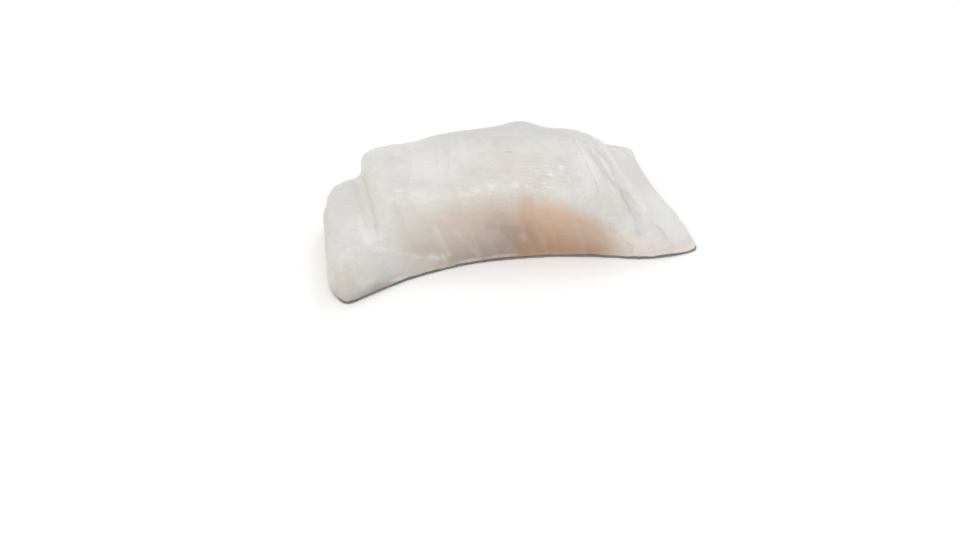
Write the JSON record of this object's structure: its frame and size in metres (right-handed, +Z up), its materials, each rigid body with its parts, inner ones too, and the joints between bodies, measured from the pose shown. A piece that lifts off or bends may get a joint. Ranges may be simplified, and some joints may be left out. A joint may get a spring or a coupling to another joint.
{
  "type": "salt cod fillet piece",
  "caption": "Thick curved piece of white cod fillet, flesh side up and skin side down, with a blunt left end, a low lip of flesh and a slanting, flaking right end.",
  "frame": {"origin": "centre of the underside of the bounding box, on the surface that the piece lies on", "axes": "+X along the piece to its slanting right end, +Y from the cut flank to the rounded back, +Z up"},
  "size_m": [0.1674, 0.0976, 0.0397],
  "materials": {
    "flesh": "moist translucent white fish flesh, pinkish tan along the cut flank",
    "skin": "moist grey-brown fish skin with olive spots"
  },
  "bodies": {
    "root": {"fillet": "flesh"}
  },
  "joints": []
}
